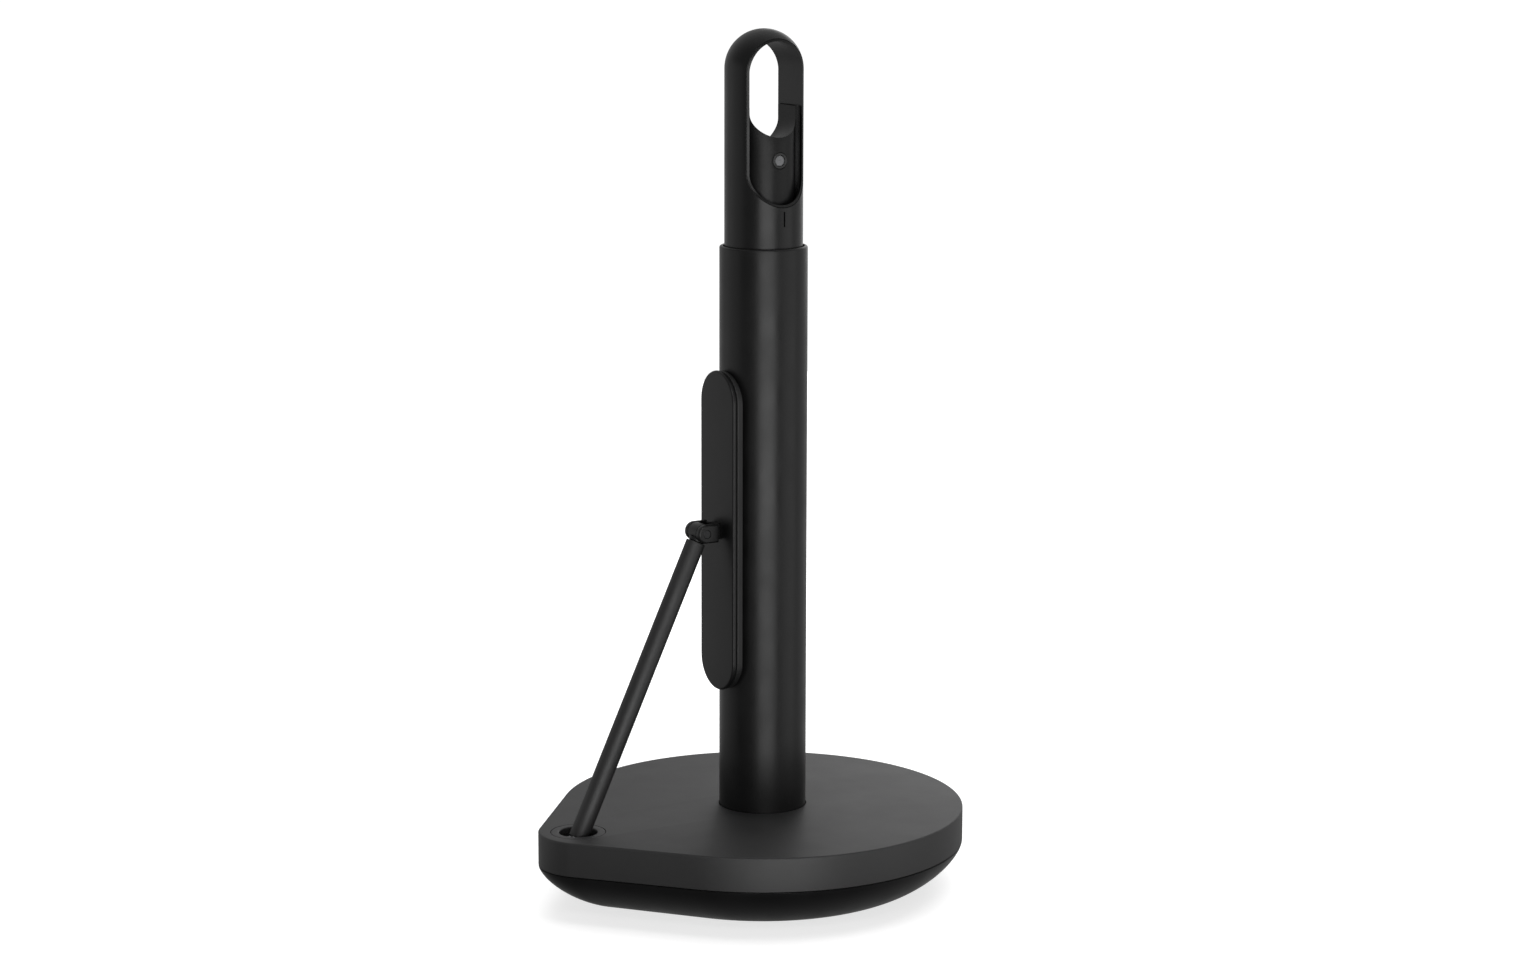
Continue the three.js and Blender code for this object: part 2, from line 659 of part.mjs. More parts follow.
// ---- Assembly -----------------------------------------------------------------------------------------

function subGroup(x = 0, y = 0, z = 0) {
  const group = new THREE.Group();
  group.position.set(x, y, z);
  return group;
}

function buildBase() {
  const group = subGroup();
  addMesh(group, "base_cover", baseCover(), MATTE_BLACK);
  addMesh(group, "base_bowl", baseBowl(), GLOSS_BLACK);
  addMesh(group, "foot_pad", footPad(), RUBBER);
  addMesh(group, "ballast_plate", ballastPlate(), IRON);
  addMesh(group, "post_socket", postSocket(), IRON);
  addMesh(group, "post_tube", postTube(), PAINTED_BLACK);
  addMesh(group, "post_bush", postBush(), MATTE_BLACK);
  addMesh(group, "arm_hole_ring", armHoleRing(), MATTE_BLACK);
  addMesh(group, "arm_bracket", armBracket(), STEEL);

  const halfPin = BRACKET.inner + BRACKET.thick + 0.8;
  addMesh(group, "arm_pivot_pin", crossPin(ARM.pin, -halfPin, halfPin, ARM.footX, ARM.footZ), STEEL);

  bossPlaces().forEach(([x, y], index) => {
    const mesh = addMesh(group, `base_screw_${index + 1}`, screw(BASE_SCREW), STEEL);
    mesh.rotation.x = Math.PI;
    mesh.position.set(x, y, FOOT.padTop + 1.8);
  });
  socketScrewPlaces().forEach(([x, y], index) => {
    const mesh = addMesh(group, `socket_screw_${index + 1}`, screw(SOCKET_SCREW), STEEL);
    mesh.position.set(x, y, SOCKET.flangeHigh + 0.1);
  });
  bracketScrewPlaces().forEach(([x, y], index) => {
    const mesh = addMesh(group, `bracket_screw_${index + 1}`, screw(BRACKET_SCREW), STEEL);
    mesh.rotation.x = Math.PI;
    mesh.position.set(x, y, BRACKET.high - BRACKET.thick - 0.1);
  });
  [1, -1].forEach((sign, index) => {
    const mesh = addMesh(group, `tube_screw_${index + 1}`, screw(TUBE_SCREW), STEEL);
    mesh.rotation.y = (sign * Math.PI) / 2;
    mesh.position.set(sign * (POST.radius + 0.1), 0, TUBE_SCREW.z);
  });
  return group;
}

function buildArm() {
  const group = subGroup(ARM.footX, 0, ARM.footZ);
  group.rotation.y = ARM_LEAN;
  addMesh(group, "arm_foot", armFoot(), STEEL);
  addMesh(group, "arm_tube", armTube(), PAINTED_BLACK);
  addMesh(group, "arm_head", armHead(), PAINTED_BLACK);
  [1, -1].forEach((sign, index) => {
    const mesh = addMesh(group, `arm_spring_${index + 1}`, torsionSpring(), STEEL);
    mesh.rotation.x = (-sign * Math.PI) / 2;
    mesh.position.y = sign * ARM.eye;
  });
  return group;
}

function buildPad() {
  const group = subGroup(ARM.pinX, 0, ARM.pinZ);
  addMesh(group, "pad_carrier", padCarrier(), MATTE_BLACK);
  addMesh(group, "pad_facing", padFacing(), RUBBER);
  addMesh(group, "pad_clevis", padClevis(), PAINTED_BLACK);
  const pinHalf = CLEVIS.halfWidth - 0.1;
  addMesh(group, "clevis_pin", crossPin(CLEVIS.pin, -pinHalf, pinHalf), STEEL);
  clevisScrewZs().forEach((z, index) => {
    const mesh = addMesh(group, `clevis_screw_${index + 1}`, screw(CLEVIS_SCREW), STEEL);
    mesh.rotation.y = Math.PI / 2;
    mesh.position.set(PAD.outer + PAD.carrier - 1, 0, z);
  });
  return group;
}

function buildPumpHead() {
  const group = subGroup();
  addMesh(group, "handle_shell", handleShell(), MATTE_BLACK);
  addMesh(group, "spray_bottle", sprayBottle(), CLEAR_PLASTIC);
  addMesh(group, "pump_collar", pumpCollar(), MATTE_BLACK);
  addMesh(group, "neck_gasket", neckGasket(), RUBBER);
  addMesh(group, "pump_barrel", pumpBarrel(), CLEAR_PLASTIC);
  addMesh(group, "dip_tube", dipTube(), CLEAR_PLASTIC);
  addMesh(group, "inlet_ball", inletBall(), STEEL);
  return group;
}

function buildButton() {
  const group = subGroup();
  addMesh(group, "pump_button", pumpButton(), MATTE_BLACK);
  addMesh(group, "nozzle_bezel", nozzleBezel(), MATTE_BLACK);
  addMesh(group, "nozzle_insert", nozzleInsert(), GREY_PLASTIC);
  addMesh(group, "pump_piston", pumpPiston(), CLEAR_PLASTIC);
  addMesh(group, "return_spring", returnSpring(), STEEL);
  return group;
}

const holder = new THREE.Group();
holder.add(buildBase(), buildArm(), buildPad(), buildPumpHead(), buildButton());

export default holder;
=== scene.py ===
import json
import math

import bmesh
import bpy
from mathutils import Matrix, Vector
from mathutils.geometry import tessellate_polygon


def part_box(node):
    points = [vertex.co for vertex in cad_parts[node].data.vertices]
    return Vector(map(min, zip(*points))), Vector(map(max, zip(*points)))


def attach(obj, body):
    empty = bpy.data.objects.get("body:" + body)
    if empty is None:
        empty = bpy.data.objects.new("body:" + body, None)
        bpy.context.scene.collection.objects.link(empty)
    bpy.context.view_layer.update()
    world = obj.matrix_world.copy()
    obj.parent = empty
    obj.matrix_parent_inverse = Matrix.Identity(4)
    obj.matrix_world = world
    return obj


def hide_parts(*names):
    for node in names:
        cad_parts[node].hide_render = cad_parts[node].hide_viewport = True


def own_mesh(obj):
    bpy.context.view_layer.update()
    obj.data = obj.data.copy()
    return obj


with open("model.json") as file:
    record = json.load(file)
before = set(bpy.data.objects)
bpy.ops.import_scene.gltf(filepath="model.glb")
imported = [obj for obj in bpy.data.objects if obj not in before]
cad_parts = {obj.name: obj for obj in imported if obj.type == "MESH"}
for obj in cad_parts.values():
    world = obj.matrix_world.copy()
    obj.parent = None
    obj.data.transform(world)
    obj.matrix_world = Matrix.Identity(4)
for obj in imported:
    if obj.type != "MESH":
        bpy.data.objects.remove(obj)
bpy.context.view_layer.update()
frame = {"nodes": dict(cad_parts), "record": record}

MM = 0.001
QUARTER = math.pi / 2

# ---- Dimensions in millimetres -------------------------------------------------------------------

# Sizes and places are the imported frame's. Edges, grooves and fits are the finished surface's own.
SHRINK = 0.02  # keeps smooth round pieces inside the faceted frame's box
BASE = dict(radius=83.5, tip_x=-82.1, tip_radius=20.9, top=34.0, seam=19.8, wall=2.4, edge=0.7, lip=0.25)
FOOT = dict(radius=57.5, tip_x=-66.2, tip_radius=5.0, under=0.6, floor=5.0, inset=3.0, pad_top=2.2,
            edge=0.4)
BOWL_DEPTH, BOWL_REACH = 1.43, 1.51
POST = dict(radius=18.0, bore=16.6, low=20.9, top=267.4)
ARM = dict(foot=(-89.2, 0.0, 27.5), pin=(-30.2, 0.0, 151.75), radius=4.0, bore=3.0, shoulder=4.3,
           foot_eye=4.3, eye=3.75, spigot=2.8, spigot_length=10.0, play=0.25, neck_top=2.6)
HOLE = dict(x=-87.4, radius=7.8, ring=11.0, thick=1.4, sleeve=9.2, below=0.4)
PAD = dict(width=26.0, height=132.5, drop=0.45, outer=8.0, carrier=2.0, seam=0.2, edge=0.9)
FACING = dict(middle=1.7, hollow=75.0, inset=0.2, edge=0.6)
CLEVIS = dict(radius=3.85, half=6.1, lug=2.5, lug_end=5.7, pin=1.7, edge=0.9, inner_edge=0.35, inset=0.08)
STEM = dict(bridge=5.3, bridge_length=1.4, half=2.5, rise=3.4, corner=0.5, lug_inset=0.03, plate_gap=0.15)
HANDLE = dict(radius=16.0, well=14.5, dome=338.8, shoulder=262.0, spigot=15.0, low=249.0, solid=324.0,
              below_mark=272.0)
WINDOW = dict(half=12.4, low=284.9, high=350.1, rim=1.1, drop=0.85, groove=0.28)
MARK = dict(low=276.2, high=282.3, half=0.35, depth=1.1)
BUTTON = dict(radius=12.7, low=284.3, high=323.7, trough=10.8, trough_z=319.65, tilt=-0.258)
NOZZLE = dict(z=302.5, bezel=3.3, insert=2.1, depth=2.7, hole=0.16, hole_depth=0.4, fit=0.15,
              behind=0.1)
BOTTLE = dict(low=64.0, floor=65.2, top=263.4, radius=14.75, inner=13.6, heel=12.8, shoulder=240.0,
              neck=11.1, neck_low=246.0, mouth=9.4)
TUBE = dict(low=68.0, top=213.7, radius=3.6, bore=2.75)
COLLAR = dict(low=253.0, top=267.4, radius=14.15, bore=11.5, roof=264.8, mouth=6.3, ridges=40, ridge=0.018)
SPRING = dict(radius=7.0, wire=0.5, turns=5, steps=220)
GAP = 0.3  # clearance between neighbouring pieces
PIN_FIT = 0.12  # clearance round the pad's pin and the nozzle

# ---- Mesh code -----------------------------------------------------------------------------------


class Sheet:
    """Points and faces of one piece, in millimetres."""

    def __init__(self):
        self.points = []
        self.faces = []

    def grid(self, rows, closed=False):
        start, count = len(self.points), len(rows[0])
        for row in rows:
            self.points.extend(Vector(p) for p in row)
        for i in range(len(rows) - 1):
            for j in range(count if closed else count - 1):
                a = start + i * count + j
                b = start + i * count + (j + 1) % count
                self.faces.append((a, b, b + count, a + count))
        return self

    def cap(self, *loops):
        """A flat face inside the first loop and outside the others."""
        start = len(self.points)
        loops = [[Vector(p) for p in loop] for loop in loops]
        for loop in loops:
            self.points.extend(loop)
        for triangle in tessellate_polygon(loops):
            self.faces.append(tuple(start + i for i in triangle))
        return self

    def mirrored(self, axis):
        """Adds the mirror image across the plane through the origin."""
        start = len(self.points)
        for p in list(self.points):
            q = p.copy()
            q[axis] = -q[axis]
            self.points.append(q)
        self.faces.extend([tuple(start + i for i in reversed(f)) for f in list(self.faces)])
        return self

    def moved(self, matrix):
        self.points = [matrix @ p for p in self.points]
        return self

    def added(self, other):
        start = len(self.points)
        self.points.extend(other.points)
        self.faces.extend(tuple(start + i for i in f) for f in other.faces)
        return self


def arc(centre, radius, start, end, steps):
    """Points of a plane arc, angles in radians."""
    angles = [start + (end - start) * i / steps for i in range(steps + 1)]
    return [(centre[0] + radius * math.cos(a), centre[1] + radius * math.sin(a)) for a in angles]


def filleted(corners, steps=6, closed=False):
    """A plane outline from (u, v, fillet radius) corners."""
    points, count = [], len(corners)
    for i, (u, v, radius) in enumerate(corners):
        here = Vector((u, v))
        if radius <= 0 or (not closed and i in (0, count - 1)):
            points.append((u, v))
            continue
        before = (Vector(corners[i - 1][:2]) - here).normalized()
        after = (Vector(corners[(i + 1) % count][:2]) - here).normalized()
        half = before.angle(after) / 2
        back = radius / math.tan(half)
        centre = here + (before + after).normalized() * (radius / math.sin(half))
        first, last = here + before * back - centre, here + after * back - centre
        sweep = first.angle_signed(last)
        for k in range(steps + 1):
            turn = Matrix.Rotation(-sweep * k / steps, 2)
            points.append(tuple(centre + turn @ first))
    return points


def revolved(profile, sides=160, closed=False):
    """Turned about Z from (radius, height) pairs; a closed profile makes a ring."""
    profile = list(profile) + ([profile[0]] if closed else [])
    angles = [2 * math.pi * (i + 0.5) / sides for i in range(sides)]
    rows = [[(r * math.cos(a), r * math.sin(a), z) for a in angles] for r, z in profile]
    return Sheet().grid(rows, closed=True)


def circle(radius, z, x=0.0, sides=96):
    angles = [2 * math.pi * i / sides for i in range(sides)]
    return [(x + radius * math.cos(a), radius * math.sin(a), z) for a in angles]


def piece(name, sheet, node, look, sharp=32, bevel=None):
    """A finished, smooth-shaded piece that stands for a CAD node and rides on its body."""
    mesh = bpy.data.meshes.new(name)
    mesh.from_pydata([p * MM for p in sheet.points], [], sheet.faces)
    bm = bmesh.new()
    bm.from_mesh(mesh)
    bmesh.ops.remove_doubles(bm, verts=bm.verts, dist=2e-6)
    bmesh.ops.dissolve_degenerate(bm, edges=bm.edges, dist=1e-7)
    bmesh.ops.recalc_face_normals(bm, faces=bm.faces)
    bm.to_mesh(mesh)
    bm.free()
    made = bpy.data.objects.new(name, mesh)
    bpy.context.scene.collection.objects.link(made)
    if bevel:
        modifier = made.modifiers.new("edge", "BEVEL")
        modifier.width = bevel * MM
        modifier.segments = 3
        modifier.limit_method = "ANGLE"
        modifier.angle_limit = math.radians(35)
        modifier.use_clamp_overlap = True
        evaluated = made.evaluated_get(bpy.context.evaluated_depsgraph_get())
        mesh = bpy.data.meshes.new_from_object(evaluated)
        made.modifiers.clear()
        made.data = mesh
    mesh.shade_smooth()
    mesh.set_sharp_from_angle(angle=math.radians(sharp))
    mesh.materials.clear()
    mesh.materials.append(look)
    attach(made, BODY_OF[node])
    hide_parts(node)
    return made


# ---- Materials -----------------------------------------------------------------------------------


def surface(name, colour, rough, *, specular=0.5, metal=0.0, tint=0.25, drift=0.05, grain=0.35, bump=0.02,
            wave=0.0, wave_size=4.0, transmission=0.0):
    """Moulded or painted surface: colour and gloss that drift slowly, a fine grain and a broad, shallow wave.
    grain and wave_size are the sizes of these, and bump and wave their heights, in millimetres."""
    look = bpy.data.materials.new(name)
    look.use_nodes = True
    nodes, links = look.node_tree.nodes, look.node_tree.links
    shader = nodes["Principled BSDF"]
    place = nodes.new("ShaderNodeTexCoord")

    def noise(size_mm, detail, roughness=0.5):
        node = nodes.new("ShaderNodeTexNoise")
        node.inputs["Scale"].default_value = 1 / (size_mm * MM)
        node.inputs["Detail"].default_value = detail
        node.inputs["Roughness"].default_value = roughness
        links.new(place.outputs["Object"], node.inputs["Vector"])
        return node.outputs["Fac"]

    def spread(source, low, high):
        node = nodes.new("ShaderNodeMapRange")
        node.inputs["From Min"].default_value = 0.3
        node.inputs["From Max"].default_value = 0.7
        node.inputs["To Min"].default_value = low
        node.inputs["To Max"].default_value = high
        links.new(source, node.inputs["Value"])
        return node.outputs["Result"]

    slow = noise(14, 3)
    fine = noise(grain, 2, 0.6)
    mix = nodes.new("ShaderNodeMix")
    mix.data_type = "RGBA"
    mix.inputs["A"].default_value = (*[c * (1 - tint) for c in colour], 1)
    mix.inputs["B"].default_value = (*[c * (1 + tint) for c in colour], 1)
    blend = nodes.new("ShaderNodeMath")
    blend.operation = "MULTIPLY_ADD"
    blend.inputs[1].default_value = 0.5
    links.new(spread(slow, 0, 1), blend.inputs[0])
    half = nodes.new("ShaderNodeMath")
    half.operation = "MULTIPLY"
    half.inputs[1].default_value = 0.5
    links.new(spread(fine, 0, 1), half.inputs[0])
    links.new(half.outputs[0], blend.inputs[2])
    links.new(blend.outputs[0], mix.inputs["Factor"])
    links.new(mix.outputs["Result"], shader.inputs["Base Color"])

    gloss = nodes.new("ShaderNodeMath")
    gloss.operation = "ADD"
    links.new(spread(slow, rough - drift, rough + drift), gloss.inputs[0])
    links.new(spread(fine, -drift / 2, drift / 2), gloss.inputs[1])
    links.new(gloss.outputs[0], shader.inputs["Roughness"])

    normal = None
    for height, size, detail in ((bump, grain, 2), (wave, wave_size, 1)):
        if not height:
            continue
        node = nodes.new("ShaderNodeBump")
        node.inputs["Strength"].default_value = 1.0
        node.inputs["Distance"].default_value = height * MM
        links.new(noise(size, detail), node.inputs["Height"])
        if normal:
            links.new(normal, node.inputs["Normal"])
        normal = node.outputs["Normal"]
    if normal:
        links.new(normal, shader.inputs["Normal"])

    shader.inputs["Metallic"].default_value = metal
    shader.inputs["Specular IOR Level"].default_value = specular
    shader.inputs["Transmission Weight"].default_value = transmission
    return look


LOOKS = {
    "matte_black": surface("cover_plastic", (0.0098, 0.0098, 0.0101), 0.52, specular=0.9, tint=0.12,
                           drift=0.015, grain=0.45, bump=0.008),
    "gloss_black": surface("bowl_plastic", (0.0055, 0.0055, 0.0057), 0.34, specular=0.45, grain=0.5,
                           bump=0.003, wave=0.004, wave_size=9),
    "painted_black": surface("painted_steel", (0.005, 0.005, 0.0052), 0.36, grain=0.5, bump=0.003,
                             wave=0.003, wave_size=3),
    "handle": surface("handle_plastic", (0.0055, 0.0055, 0.0057), 0.33, specular=0.48, grain=0.4,
                      bump=0.004, wave=0.002, wave_size=5),
    "button": surface("button_plastic", (0.0055, 0.0055, 0.0057), 0.4, specular=0.36, grain=0.4, bump=0.004),
    "plate": surface("painted_plate", (0.0048, 0.0048, 0.005), 0.38, specular=0.45, drift=0.02, grain=0.45,
                     bump=0.004),
    "rod": surface("painted_rod", (0.0065, 0.0065, 0.0067), 0.56, specular=0.95, bump=0.004),
    "rubber": surface("rubber", (0.008, 0.008, 0.008), 0.5, specular=0.6, grain=0.6, bump=0.03),
    "steel": surface("steel", (0.55, 0.55, 0.56), 0.3, metal=1.0, tint=0.08, grain=0.4, bump=0.004),
    "dark_steel": surface("pin_steel", (0.02, 0.02, 0.021), 0.32, metal=0.3, tint=0.1, grain=0.3, bump=0.004),
    "cast_iron": surface("cast_iron", (0.09, 0.088, 0.086), 0.62, metal=0.8, tint=0.2, grain=1.2, bump=0.08),
    "grey_plastic": surface("nozzle_plastic", (0.2, 0.203, 0.21), 0.34, tint=0.08, grain=0.3, bump=0.006),
    "frosted_plastic": surface("frosted_plastic", (0.62, 0.65, 0.67), 0.36, tint=0.04, grain=0.8, bump=0.01,
                               transmission=0.55),
}

BODY_OF = {node: body for body, nodes in frame["record"]["behaviour"]["bodies"].items() for node in nodes}

# ---- Base ----------------------------------------------------------------------------------------


def teardrop(radius, tip_x, tip_radius, z):
    """Outline round two circles joined by their tangents."""
    tangent = math.acos((radius - tip_radius) / -tip_x)
    large = arc((0, 0), radius, tangent - math.pi, math.pi - tangent, 180)
    small = arc((tip_x, 0), tip_radius, math.pi - tangent, math.pi + tangent, 40)
    return [(x, y, z) for x, y in large + small]


def rim_outline(inset, z):
    inset += SHRINK
    return teardrop(BASE["radius"] - inset, BASE["tip_x"], BASE["tip_radius"] - inset, z)


def rounded_levels(inset, z_edge, z_flat, steps=6):
    """(inset, z) pairs of a quarter-round from an upright side at z_edge to a flat at z_flat."""
    turns = [QUARTER * i / steps for i in range(steps + 1)]
    return [(inset * (1 - math.cos(a)), z_edge + (z_flat - z_edge) * math.sin(a)) for a in turns]


def make_cover():
    top, roof, low = BASE["top"], BASE["top"] - BASE["wall"], BASE["seam"] + GAP / 2
    edge, lip = BASE["edge"], BASE["lip"]
    side = rounded_levels(lip, low + lip, low)[::-1] + rounded_levels(edge, top - edge, top)
    rows = [rim_outline(inset, z) for inset, z in side]
    sheet = Sheet().grid(rows, closed=True)
    post_hole, ring_hole, sleeve_hole = POST["radius"] + GAP, HOLE["ring"] + GAP, HOLE["sleeve"] + GAP
    ledge = top - HOLE["thick"] - GAP
    sheet.cap(rows[-1], circle(post_hole, top), circle(ring_hole, top, HOLE["x"]))
    inner = [rim_outline(lip, low), rim_outline(BASE["wall"], low), rim_outline(BASE["wall"], roof)]
    sheet.grid(inner, closed=True)
    sheet.cap(inner[-1], circle(post_hole, roof), circle(sleeve_hole, roof, HOLE["x"]))
    sheet.grid([circle(post_hole, top), circle(post_hole, roof)], closed=True)
    x = HOLE["x"]
    wall = [(ring_hole, top), (ring_hole, ledge), (sleeve_hole, ledge), (sleeve_hole, roof)]
    sheet.grid([circle(r, z, x) for r, z in wall], closed=True)
    piece("base_cover_shell", sheet, "base_cover", LOOKS["matte_black"])


def bowl_outline(reach, z, wall=0.0):
    def between(foot, rim):
        return foot + (rim - foot) * reach

    radius = between(FOOT["radius"], BASE["radius"]) - wall - SHRINK
    tip_radius = max(between(FOOT["tip_radius"], BASE["tip_radius"]) - wall - SHRINK, 2)
    tip_end = between(FOOT["tip_x"] - FOOT["tip_radius"], BASE["tip_x"] - BASE["tip_radius"]) + wall + SHRINK
    return teardrop(radius, tip_end + tip_radius, tip_radius, z)


def bowl_levels(low, high, wall, steps):
    """Outlines of the bulging side between two heights, lowest first."""
    seam, under = BASE["seam"], FOOT["under"]

    def turn_at(z):
        depth = min(max((seam - z) / (seam - under), 0), 1)
        return math.asin(depth ** (BOWL_DEPTH / 2))

    start, end = turn_at(low), turn_at(high)
    rows = []
    for i in range(steps + 1):
        turn = start + (end - start) * i / steps
        reach = math.cos(turn) ** (2 / BOWL_REACH)
        rows.append(bowl_outline(reach, seam - (seam - under) * math.sin(turn) ** (2 / BOWL_DEPTH), wall))
    return rows


def foot_outline(inset, z):
    shrink = FOOT["inset"] + inset
    return teardrop(FOOT["radius"] - shrink, FOOT["tip_x"] + shrink / 2, FOOT["tip_radius"] - shrink / 2, z)


def make_bowl():
    high, under, edge = BASE["seam"] - GAP / 2, FOOT["under"], BASE["lip"]
    outside = bowl_levels(under, high - edge, 0, 30)
    lip = [rim_outline(GAP + inset, z) for inset, z in rounded_levels(edge, high - edge, high)[1:]]
    inside = bowl_levels(FOOT["floor"], high - 0.1, BASE["wall"], 6)[::-1]
    sheet = Sheet().grid(outside + lip + inside, closed=True)
    sheet.cap(inside[-1])
    recess = [foot_outline(-GAP, under), foot_outline(-GAP, FOOT["pad_top"] + GAP)]
    sheet.grid(recess, closed=True)
    sheet.cap(recess[-1])
    sheet.cap(outside[0], recess[0])
    piece("base_bowl_shell", sheet, "base_bowl", LOOKS["gloss_black"])


def make_foot():
    edge = FOOT["edge"]
    rows = [foot_outline(i, z) for i, z in [(edge, 0), (0.12, 0.1), (0, edge), (0, FOOT["pad_top"])]]
    sheet = Sheet().grid(rows, closed=True).cap(rows[0]).cap(rows[-1])
    piece("rubber_foot", sheet, "foot_pad", LOOKS["rubber"])


def make_hole_ring():
    top, inner = BASE["top"], HOLE["radius"]
    foot = top - BASE["wall"] - HOLE["below"]
    corners = [
        (inner, top, 0.5), (HOLE["ring"], top, 0.15), (HOLE["ring"], top - HOLE["thick"], 0),
        (HOLE["sleeve"], top - HOLE["thick"], 0), (HOLE["sleeve"], foot, 0), (inner, foot, 0),
    ]
    sheet = revolved(filleted(corners, closed=True), 96, closed=True)
    sheet.moved(Matrix.Translation((HOLE["x"], 0, 0)))
    piece("arm_hole_trim", sheet, "arm_hole_ring", LOOKS["matte_black"])


def make_post():
    outer, bore, low, top = POST["radius"] - SHRINK, POST["bore"], POST["low"], POST["top"]
    corners = [(outer, low, 0.3), (outer, top, 0.9), (bore, top, 0.35), (bore, low, 0)]
    sheet = revolved(filleted(corners, closed=True), 192, closed=True)
    piece("post", sheet, "post_tube", LOOKS["painted_black"])


# ---- Arm -----------------------------------------------------------------------------------------

ARM_VECTOR = Vector(ARM["pin"]) - Vector(ARM["foot"])
ARM_LEAN = math.atan2(ARM_VECTOR.x, ARM_VECTOR.z)
ARM_PLACE = Matrix.Translation(ARM["foot"]) @ Matrix.Rotation(ARM_LEAN, 4, "Y")
CROSSWISE = Matrix.Rotation(QUARTER, 4, "X")


def make_arm():
    length, radius, bore, low = (ARM_VECTOR.length, ARM["radius"], ARM["bore"], ARM["foot_eye"])
    high = length - ARM["shoulder"]
    corners = [(radius, low, 0.3), (radius, high, 0.3), (bore, high, 0), (bore, low, 0)]
    sheet = revolved(filleted(corners, closed=True), 96, closed=True).moved(ARM_PLACE)
    piece("arm_rod", sheet, "arm_tube", LOOKS["rod"])

    half, eye, hole = CLEVIS["half"] - CLEVIS["lug"] - ARM["play"], ARM["eye"], CLEVIS["pin"] + PIN_FIT
    ring = filleted([(hole, -half, 0), (eye, -half, 0.4), (eye, half, 0.4), (hole, half, 0)], closed=True)
    head = revolved(ring, 64, closed=True).moved(Matrix.Translation((0, 0, length)) @ CROSSWISE)
    low, spigot = high + GAP, ARM["spigot"]
    top, foot = length - ARM["neck_top"], low - ARM["spigot_length"]
    neck = filleted([(0, foot, 0), (spigot, foot, 0.3), (spigot, low - 0.2, 0), (half, low, 0.3),
                     (half, top, 0), (0, top, 0)])
    head.added(revolved(neck, 64))
    piece("arm_end", head.moved(ARM_PLACE), "arm_head", LOOKS["painted_black"])


# ---- Pad, about its pin --------------------------------------------------------------------------

PAD_PLACE = Matrix.Translation(ARM["pin"])


def racetrack(width, height, inset, x, steps=28, rungs=24):
    radius, straight = width / 2 - inset, (height - width) / 2
    upper = arc((0, straight), radius, 0, math.pi, steps)
    lower = arc((0, -straight), radius, math.pi, 2 * math.pi, steps)
    down = [(-radius, straight * (1 - 2 * i / rungs)) for i in range(1, rungs)]
    up = [(radius, -z) for _, z in down]
    return [(x, y, z - PAD["drop"]) for y, z in upper + down + lower + up]


def plate_levels(near, far, edge, steps=6):
    """(inset, x) pairs round the edge of a plate, from its near face to its far face."""
    first = [(inset, 2 * near + edge - x) for inset, x in rounded_levels(edge, near, near + edge, steps)]
    first.reverse()
    last = rounded_levels(edge, far - edge, far, steps)
    return first[:-1] + [(0, near + edge), (0, far - edge)] + last[1:]


def make_pad():
    near, far = PAD["outer"], PAD["outer"] + PAD["carrier"]
    levels = plate_levels(near, far, PAD["edge"])
    rows = [racetrack(PAD["width"], PAD["height"], inset, x) for inset, x in levels]
    sheet = Sheet().grid(rows, closed=True).cap(rows[0]).cap(rows[-1]).moved(PAD_PLACE)
    piece("pad_plate", sheet, "pad_carrier", LOOKS["plate"])

    near = far + PAD["seam"]
    width, height = PAD["width"] - 2 * FACING["inset"], PAD["height"] - 2 * FACING["inset"]
    edge = FACING["edge"]
    side = [(inset, near + edge - (x - near)) for inset, x in rounded_levels(edge, near, near + edge)[::-1]]
    rows = [racetrack(width, height, inset, x) for inset, x in side]

    def roll_side(y):
        hollow = FACING["hollow"]
        return near + FACING["middle"] + hollow - math.sqrt(hollow * hollow - y * y)

    for inset, back in rounded_levels(edge, 0, edge):
        outline = racetrack(width, height, inset, 0)
        rows.append([(roll_side(abs(y)) - (edge - back), y, z) for _, y, z in outline])
    sheet = Sheet().grid(rows, closed=True).cap(rows[0])
    radius, straight = width / 2 - edge, (height - width) / 2
    face = []
    for i in range(29):
        y = radius * math.cos(math.pi * i / 28)
        reach = straight + math.sqrt(max(radius * radius - y * y, 0))
        face.append([(roll_side(abs(y)), y, reach * v / 12 - PAD["drop"]) for v in range(-12, 13)])
    sheet.grid(face).moved(PAD_PLACE)
    piece("pad_rubber_face", sheet, "pad_facing", LOOKS["rubber"])


